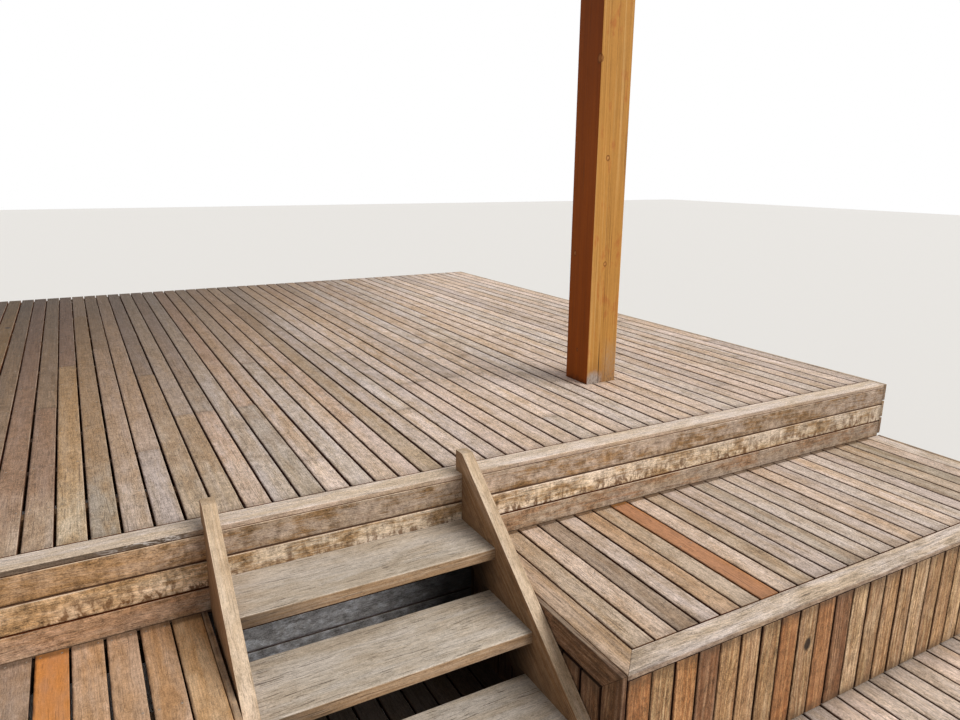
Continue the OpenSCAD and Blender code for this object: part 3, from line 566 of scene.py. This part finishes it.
# Place and size of the post's knots, in metres.
KNOTS = ((1.212, -0.831, 2.194, 0.013), (1.227, -0.831, 1.656, 0.012), (1.262, -0.831, 2.96, 0.015),
         (1.142, -0.679, 1.702, 0.014), (1.142, -0.819, 2.663, 0.020), (1.142, -0.735, 1.18, 0.010))


def oiled_cypress():
    """The square post: cypress under an orange oil stain. The stain is thin, gold and streaky where sun
    and rain reach it, and still deep red-brown on the two faces that look left and back, which also carry
    painted shade and are darker higher up. Knots show through, and the foot has lost its stain to splashes."""
    made, tree = bare_material("oil_stained_cypress_post")
    spot = add(tree, "TexCoord").outputs["Object"]
    at = add(tree, "SeparateXYZ", (spot,))
    facing = add(tree, "SeparateXYZ", (add(tree, "NewGeometry").outputs["Normal"],))
    # Metres to noise cells: the grain stands upright.
    noise = {}
    for key, wide, tall, detail in (("grain", 0.0035, 0.30, 2.0), ("streak", 0.011, 1.1, 3.0),
                                    ("band", 0.06, 1.6, 2.0), ("smudge", 0.05, 0.09, 3.0),
                                    ("speck", 0.007, 0.014, 2.0), ("crack", 0.004, 0.5, 1.0)):
        scaled = add(tree, "VectorMath", (spot, (1 / wide, 1 / wide, 1 / tall)), operation="MULTIPLY")
        noise[key] = add(tree, "TexNoise", {"Vector": scaled, "Scale": 1.0, "Detail": detail,
                                            "Distortion": 0.2})

    light = 1.0
    for key, strength in (("grain", 0.30), ("streak", 0.45), ("band", 0.40), ("smudge", 0.22),
                          ("speck", 0.20)):
        centred = add(tree, "Math", (noise[key], 0.5), operation="SUBTRACT")
        light = add(tree, "Math", (centred, strength, light), operation="MULTIPLY_ADD")

    # The faces that look left and back keep a deeper stain and carry painted shade, darker higher up.
    leftward = add(tree, "MapRange", (facing.outputs["X"], -0.45, -0.75))
    backward = add(tree, "MapRange", (facing.outputs["Y"], 0.45, 0.75))
    shaded_sheltered_faces = add(tree, "Math", (leftward, backward), operation="MAXIMUM")
    redder = add(tree, "MapRange", (noise["smudge"], 0.56, 0.70, 0.0, 0.55))
    gold = add(tree, "Mix", {0: redder, 6: linear("#b7823f"), 7: linear("#a45a2b")}, data_type="RGBA")
    thin = add(tree, "MapRange", (noise["streak"], 0.54, 0.66, 0.0, 0.5))
    gold = add(tree, "Mix", {0: thin, 6: gold, 7: linear("#c39a62")}, data_type="RGBA")
    deep = add(tree, "MapRange", (at.outputs["Z"], 2.2, 3.3))
    deep = add(tree, "Mix", {0: deep, 6: linear("#944910"), 7: linear("#763609")}, data_type="RGBA")
    colour = add(tree, "Mix", {0: shaded_sheltered_faces, 6: gold, 7: deep}, data_type="RGBA")
    colour = add(tree, "VectorMath", {0: colour, "Scale": light}, operation="SCALE")

    # Knots: a pale eye in a thin dark ring, squashed a little. The last three are on the left face.
    eyes, ringed = 0.0, 0.0
    for x, y, z, size in KNOTS:
        away = add(tree, "VectorMath", (spot, (x, y, z)), operation="SUBTRACT")
        away = add(tree, "VectorMath", (away, (1.0, 1.0, 0.75)), operation="MULTIPLY")
        away = add(tree, "VectorMath", (away,), operation="LENGTH").outputs["Value"]
        away = add(tree, "Math", (noise["speck"], 0.008, away), operation="MULTIPLY_ADD")
        eye = add(tree, "MapRange", (away, size, size * 0.55))
        edge = add(tree, "Math", (away, size, 0.0028), operation="COMPARE")
        eyes = add(tree, "Math", (eye, eyes), operation="MAXIMUM")
        ringed = add(tree, "Math", (edge, ringed), operation="MAXIMUM")

    # The foot: bare and grey at the left of the front face, rained pale over its right half and
    # speckled with dirt. The sheltered faces are dark with damp along their lowest edge.
    exposed = add(tree, "Math", (1.0, shaded_sheltered_faces), operation="SUBTRACT")
    low = add(tree, "Math", (noise["smudge"], 0.10, at.outputs["Z"]), operation="MULTIPLY_ADD")
    damp = add(tree, "MapRange", (low, 1.20, 1.09, 0.0, 0.5))
    damp = add(tree, "Math", (damp, exposed), operation="MULTIPLY")
    rained = add(tree, "MapRange", (low, 1.31, 1.18))
    rained_here = add(tree, "MapRange", (at.outputs["X"], 1.228, 1.270))
    in_specks = add(tree, "MapRange", (noise["speck"], 0.38, 0.62, 0.35, 1.0))
    bare = add(tree, "MapRange", (low, 1.122, 1.088))
    bare_here = add(tree, "MapRange", (at.outputs["X"], 1.252, 1.218))
    dirty = add(tree, "MapRange", (at.outputs["Z"], 1.080, 1.010))
    dirty_here = add(tree, "MapRange", (noise["speck"], 0.50, 0.58))
    for limit in (rained_here, in_specks, exposed):
        rained = add(tree, "Math", (rained, limit), operation="MULTIPLY")
    for limit in (bare_here, exposed):
        bare = add(tree, "Math", (bare, limit), operation="MULTIPLY")
    for limit in (dirty_here, exposed):
        dirty = add(tree, "Math", (dirty, limit), operation="MULTIPLY")
    wet = add(tree, "MapRange", (low, 1.082, 1.058))
    wet = add(tree, "Math", (wet, shaded_sheltered_faces), operation="MULTIPLY")
    cracks = add(tree, "MapRange", (noise["crack"], 0.655, 0.70, 0.0, 0.8))
    rift = add(tree, "Math", (noise["streak"], 0.012, at.outputs["X"]), operation="MULTIPLY_ADD")
    rift = add(tree, "Math", (rift, 1.225, 0.0017), operation="COMPARE")
    rift_low = add(tree, "MapRange", (at.outputs["Z"], 1.26, 1.13, 0.0, 0.95))
    rift = add(tree, "Math", (rift, rift_low), operation="MULTIPLY")
    for where, share, shade in ((damp, 1.0, "#8a5f34"), (rained, 0.60, "#a1876c"), (bare, 0.85, "#a69d96"),
                                (dirty, 0.55, "#54391f"), (wet, 0.60, "#34170a"), (eyes, 0.45, "#c48a52"),
                                (ringed, 0.7, "#6d3c18"), (cracks, 0.7, "#5b3413"), (rift, 1.0, "#24160c")):
        share = add(tree, "Math", (where, share), operation="MULTIPLY")
        colour = add(tree, "Mix", {0: share, 6: colour, 7: linear(shade)}, data_type="RGBA")
    height = add(tree, "Math", (noise["grain"], cracks), operation="SUBTRACT")
    ridges = add(tree, "Bump", {"Height": height, "Strength": 0.4, "Distance": 0.001})
    surface = add(tree, "BsdfPrincipled", {"Base Color": colour, "Roughness": 0.62,
                                           "Specular IOR Level": 0.12, "Normal": ridges})
    add(tree, "OutputMaterial", {"Surface": surface})
    return made


post_wood = oiled_cypress()


# Which tone each board has. The upper deck's boards are counted from its left end; FIRST_BOARD is where
# the first one lies, in metres from the deck's middle. Boards past OPEN_FROM lie in the open. Lengths
# that start nearer than FRONT_END reach the front border. The two tables start at board FIRST_TONE.

FIRST_BOARD, BOARD_PITCH = -2.5965, 0.0945
FIRST_TONE, OPEN_FROM, FRONT_END = 9, 22, -1.4
NEAR_TONES = dict(enumerate((
    "honey", "sepia", "sepia", "sepia", "gilt", "moss", "tan", "ash", "umber", "umber", "rose", "silver",
    "mauve", "pale", "silver", "tan", "rose", "umber", "ash", "pale", "ash", "rose"), FIRST_TONE))
FAR_TONES = dict(enumerate((
    "honey", "umber", "sepia", "umber", "sepia", "tan", "umber", "tan", "mauve", "ash", "mauve", "silver",
    "rose", "tan", "ash", "tan"), FIRST_TONE))
OPEN_MIX = ("tan", "tan", "rose", "silver", "ash", "tan", "silver", "pale", "silver", "pale")
COVERED_MIX = ("tan", "umber", "ash", "tan", "rose", "ash", "mauve", "tan")
NEAR_FAULTS = {14: (0.20, 0.0, BURL), 21: (0.12, 0.01, BURL)}
FAR_FAULTS = {9: (2.6, 0.012, KNOT)}


def deck_board(i, low, rng):
    """Listed one by one where the boards show well, mixed elsewhere. One in eight of the others has a burl.
    """
    row = round((low[0] - FIRST_BOARD) / BOARD_PITCH)
    front = low[1] < FRONT_END
    known = (NEAR_TONES if front else FAR_TONES).get(row)
    tone = known or rng.choice(OPEN_MIX if row > OPEN_FROM else COVERED_MIX)
    knot = (NEAR_FAULTS if front else FAR_FAULTS).get(row)
    if knot is None and rng.random() < 0.12:
        knot = (rng.uniform(0.2, 1.5), rng.uniform(-0.03, 0.03), BURL)
    return {"tone": tone, "knot": knot}


RIGHT_PLATFORM = ("umber", "tan", "smoke", "ash", "toast", "umber", "new board", "tan", "umber", "ash",
                  "ash", "mauve", "silver", "silver", "ash", "tan", "ash", "silver", "pale", "silver",
                  "ash", "mauve", "umber", "olive", "tan")
LEFT_PLATFORM = ("biscuit", "toast", "toast", "toast", "new board", "smoke", "toast", "umber", "toast",
                 "ash", "toast", "smoke", "umber", "toast", "toast", "umber")
SKIRT = ("chestnut", "bark", "amber", "walnut", "oak", "oak", "bark", "chestnut", "bark", "chestnut",
         "walnut", "biscuit", "bark", "oak", "bark", "biscuit", "bark", "oak", "biscuit", "bark", "oak",
         "chestnut", "oak", "bark", "oak", "biscuit", "bark")


def right_platform_board(i, low, rng):
    """One is new, and still orange and smooth."""
    tone = RIGHT_PLATFORM[i % len(RIGHT_PLATFORM)]
    return {"tone": tone, "wear": 0.55 if tone == "new board" else 1.0}


def left_platform_board(i, low, rng):
    """Counted from the flight; the third has a burl."""
    from_flight = (len(LEFT_PLATFORM) - 1 - i) % len(LEFT_PLATFORM)
    tone = LEFT_PLATFORM[from_flight]
    return {"tone": tone, "knot": (0.80, 0.0, BURL) if from_flight == 2 else None,
            "wear": 0.4 if tone == "new board" else 1.0}


def skirt_board(i, low, rng):
    """The ninth has a knot."""
    return {"tone": SKIRT[i % len(SKIRT)], "knot": (0.30, 0.01, KNOT) if i == 8 else None}


def fascia_board(i, low, rng):
    """Three long boards, one over the other, counted from the lowest."""
    return ({"tone": "pink fascia", "figure": 0.6}, {"tone": "gold fascia", "figure": 1.0},
            {"tone": "red fascia", "figure": 0.65})[i % 3]


def right_border(i, low, rng):
    """The border's board beside the flight is browner than the front one."""
    return {"tone": "warm rim" if low[0] < 0.2 and i else "rim"}


def left_border(i, low, rng):
    """Its board beside the flight lies in the stringer's shade and is brown, painted paler as light that
    makes up for that shade.
    """
    return {"tone": "brown rim with painted light" if low[0] > -1.2 else "rim"}


# Side boards further than this from the deck's middle stand at a platform's open end.
OPEN_END = 1.3


def side_board(i, low, rng):
    """Dark with painted shade beside the flight, brown like the skirt at the open ends."""
    if abs(low[0]) > OPEN_END:
        return {"tone": rng.choice(("bark", "oak", "walnut", "oak", "chestnut"))}
    return {"tone": "deep shade" if low[1] > -2.2 else "shaded trim"}


def left_side_trim(i, low, rng):
    """Its upper edge shows beside the flight, painted pale as light that makes up for the stringer's shade.
    """
    return {"tone": "trim edge" if abs(low[0]) < OPEN_END else "bark"}


def any_of(*tones):
    """Tones drawn at random."""
    return lambda i, low, rng: {"tone": rng.choice(tones)}


# The grain of the stringers runs up the flight, a little steeper than the line of its nosings.
pitch = math.atan(RISE / GOING) + math.radians(1.1)
uphill = Vector((0, math.cos(pitch), math.sin(pitch)))
dress("deck_boards", decking, "weathered_boards", deck_board, figure=0.4, play=0.0009,
      shrink=(0.0012, 0.0030))
dress("deck_front_border", border_wood, "pale_border", any_of("rim"), play=0.0004, ease=0.0016)
dress("deck_front_fascia", fascia_wood, "warm_fascia", fascia_board, play=0.0006)
dress("deck_side_fascia", fascia_wood, "warm_fascia", fascia_board, dark_sides=False)
dress("stair_back_boards", shade_wood, "shaded_boards", any_of("slate with painted light"))
dress("lower_deck_boards", shaded_lower_decking, "weathered_boards",
      any_of("pale", "silver", "silver", "silver", "pale", "pale", "silver"), play=0.0009,
      shrink=(0.0004, 0.0018))
dress("lower_deck_border", border_wood, "pale_border", any_of("rim"), ease=0.0016)
dress("lower_deck_fascia", low_fascia_wood, "warm_fascia", fascia_board, dark_sides=False)
dress("right_platform_boards", low_decking, "weathered_boards", right_platform_board, figure=0.3,
      play=0.0011, shrink=(0.0008, 0.0022))
dress("left_platform_boards", brown_decking, "weathered_boards", left_platform_board, figure=0.35,
      play=0.0012, shrink=(0.0008, 0.0022))
for hand, finish, border, trim in (("right", corner_wood, right_border, side_board),
                                   ("left", brown_decking, left_border, left_side_trim)):
    dress(hand + "_platform_border", finish, "pale_border", border, ease=0.0016, dark_sides=False)
    dress(hand + "_side_trim", skirt_wood, "skirt_boards", trim, dark_sides=False)
    dress(hand + "_side_boards", skirt_wood, "skirt_boards", side_board, along=UPRIGHT)
    dress(hand + "_front_skirt", skirt_wood, "skirt_boards", skirt_board, along=UPRIGHT, play=0.0012,
          shrink=(0.0004, 0.0020))
    dress(hand + "_skirt_rails", framing_wood, "framing", any_of("dust in shade"))
    dress(hand + "_platform_joists", framing_wood, "framing", any_of("dust in shade", "bark"))
    dress(hand + "_platform_bearers", framing_wood, "framing", any_of("dust in shade", "bark"))
    dress(hand + "_platform_stumps", framing_wood, "framing", any_of("dust in shade"), along=UPRIGHT)
for node in ("deck_rims", "house_ledger", "deck_joists", "deck_bearers", "lower_deck_joists",
             "lower_deck_bearers"):
    dress(node, framing_wood, "framing", any_of("dust in shade", "bark"))
for node in ("deck_stumps", "lower_deck_stumps"):
    dress(node, framing_wood, "framing", any_of("dust in shade"), along=UPRIGHT)
for node in ("top_tread", "middle_tread", "bottom_tread"):
    dress(node, tread_wood, "tread_timber", any_of("scuffed"), ease=0.0012, dark_sides=False)
for node in ("left_stringer", "right_stringer"):
    dress(node, stringer_wood, "stringer_timber", any_of("sawn"), ease=0.0016, dark_sides=False,
          along=uphill)
dress("verandah_post", post_wood, "stained_post", any_of("stain"), ease=0.004, along=UPRIGHT,
      dark_sides=False)


def screw_head(piece, at, out, turn):
    """A flat countersunk head with a small recess, a hair proud of the worn board."""
    side = out.orthogonal().normalized()
    other = out.cross(side)
    start = len(piece["point"])
    for radius, lift in ((0.0036, 0.00004), (0.0033, 0.00030), (0.0015, 0.00030), (0.0011, -0.0001)):
        for k in range(8):
            angle = turn + k * math.pi / 4
            spoke = side * math.cos(angle) + other * math.sin(angle)
            piece["point"].append(at + out * lift + spoke * radius)
    for r in range(3):
        for k in range(8):
            a, b = start + r * 8 + k, start + r * 8 + (k + 1) % 8
            piece["face"].append([a, b, b + 8, a + 8])
    piece["face"].append([start + 24 + k for k in range(8)])


# Screws stand so far in from a board's sides and its ends, in metres. A row just past an end holds it too.
FROM_SIDE, FROM_END, PAST_END = 0.018, 0.014, 0.004


def screw_down(name, node, rows, finish):
    """Two screws in each board of a node, at each row that crosses it."""
    rng = random.Random(len(node))
    piece = {"point": [], "face": []}
    for timber in solids(node):
        low = [min(v.co[k] for v in timber.verts) for k in range(3)]
        high = [max(v.co[k] for v in timber.verts) for k in range(3)]
        for row in rows:
            if low[1] - PAST_END < row < high[1] + PAST_END:
                y = min(max(row, low[1] + FROM_END), high[1] - FROM_END)
                for x in (low[0] + FROM_SIDE, high[0] - FROM_SIDE):
                    at = Vector((x + rng.uniform(-0.003, 0.003), y + rng.uniform(-0.004, 0.004), high[2]))
                    screw_head(piece, at, Vector((0, 0, 1)), rng.uniform(0, 1))
        timber.free()
    mesh = bpy.data.meshes.new(name)
    mesh.from_pydata([tuple(p) for p in piece["point"]], [], piece["face"])
    mesh.materials.append(finish)
    screws = bpy.data.objects.new(name, mesh)
    bpy.context.scene.collection.objects.link(screws)
    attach(screws, "root")


steel = dulled_steel()
# Where joists cross the boards, in metres to the rear of the deck's middle.
DECK_JOISTS = (-1.5035, *(-1.181 + 0.408 * k for k in range(12)), 3.468)
PLATFORM_JOISTS = (-2.418, -2.0058, -1.612)
LOWER_JOISTS = (-3.403, -3.098, -2.793, -2.4875, -2.04, -1.612)
screw_down("upper_deck_screws", "deck_boards", DECK_JOISTS, steel)
screw_down("right_platform_screws", "right_platform_boards", PLATFORM_JOISTS, steel)
screw_down("left_platform_screws", "left_platform_boards", PLATFORM_JOISTS, steel)
screw_down("lower_deck_screws", "lower_deck_boards", LOWER_JOISTS, steel)


def set_studio():
    """A plain pale floor, an overcast dome and one broad soft lamp from the front right."""
    floor = bpy.data.meshes.new("floor")
    floor.from_pydata([(-40, -40, 0), (40, -40, 0), (40, 40, 0), (-40, 40, 0)], [], [(0, 1, 2, 3)])
    paint = bpy.data.materials.new("pale_floor")
    paint.use_nodes = True
    coat = paint.node_tree.nodes["Principled BSDF"]
    coat.inputs["Base Color"].default_value = linear("#e9e6e1")
    coat.inputs["Roughness"].default_value = 0.9
    floor.materials.append(paint)
    ground = bpy.data.objects.new("floor", floor)
    ground.location.z = -0.0005
    bpy.context.scene.collection.objects.link(ground)

    world = bpy.data.worlds.new("overcast dome")
    bpy.context.scene.world = world
    world.use_nodes = True
    tree = world.node_tree
    tree.nodes.clear()
    path = add(tree, "LightPath")
    seen = add(tree, "Math", (path.outputs["Is Camera Ray"], path.outputs["Is Glossy Ray"]),
               operation="MAXIMUM")
    seen = add(tree, "Math", (seen, path.outputs["Is Transmission Ray"]), operation="MAXIMUM")
    dome = add(tree, "Background", {"Color": linear("#f4f6fa"), "Strength": 0.37})
    white = add(tree, "Background", {"Color": (1, 1, 1, 1), "Strength": 1.0})
    sky = add(tree, "MixShader", (seen, dome, white))
    add(tree, "OutputWorld", {"Surface": sky})

    lamp = bpy.data.lights.new("soft key", "SUN")
    lamp.energy = 3.1
    lamp.angle = math.radians(50)
    lamp.color = (1.0, 0.99, 0.975)
    key = bpy.data.objects.new("soft key", lamp)
    key.rotation_euler = Vector((0.54, -0.56, 0.63)).to_track_quat("Z", "Y").to_euler()
    bpy.context.scene.collection.objects.link(key)


set_viewpoint()
set_studio()
bpy.context.scene.view_settings.view_transform = "Standard"
